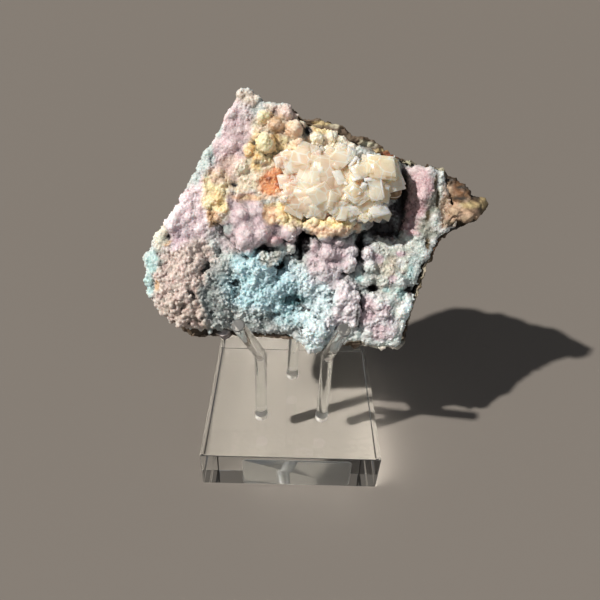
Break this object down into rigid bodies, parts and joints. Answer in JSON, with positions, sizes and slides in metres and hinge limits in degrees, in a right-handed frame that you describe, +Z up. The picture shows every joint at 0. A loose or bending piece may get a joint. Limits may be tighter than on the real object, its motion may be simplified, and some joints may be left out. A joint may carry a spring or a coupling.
{
  "type": "gibbsite mineral specimen on a clear peg stand",
  "caption": "Botryoidal gibbsite crust with a pale calcite cluster on a dark matrix slab, leaning on bent round pegs in a clear acrylic block with a blank clear label.",
  "frame": {"origin": "middle of the stand base's underside", "axes": "+Z up; the crust's face looks towards -Y and leans back; +X to the right seen from the front"},
  "size_m": [0.1316, 0.083, 0.1448],
  "materials": {
    "matrix": "rough broken limonite-stained rock",
    "gibbsite": "botryoidal, waxy to pearly, banded from blue through lavender and pink to yellow and white",
    "calcite": "translucent milky rhombs with glossy cleavage faces",
    "acrylic": "clear cast acrylic, polished",
    "label": "blank clear sticker"
  },
  "bodies": {
    "root": {"matrix_rock": "matrix", "gibbsite_crust": "gibbsite", "calcite_cluster": "calcite", "stand_base": "acrylic", "peg_front_left": "acrylic", "peg_front_right": "acrylic", "peg_back": "acrylic", "label": "label"}
  },
  "joints": []
}
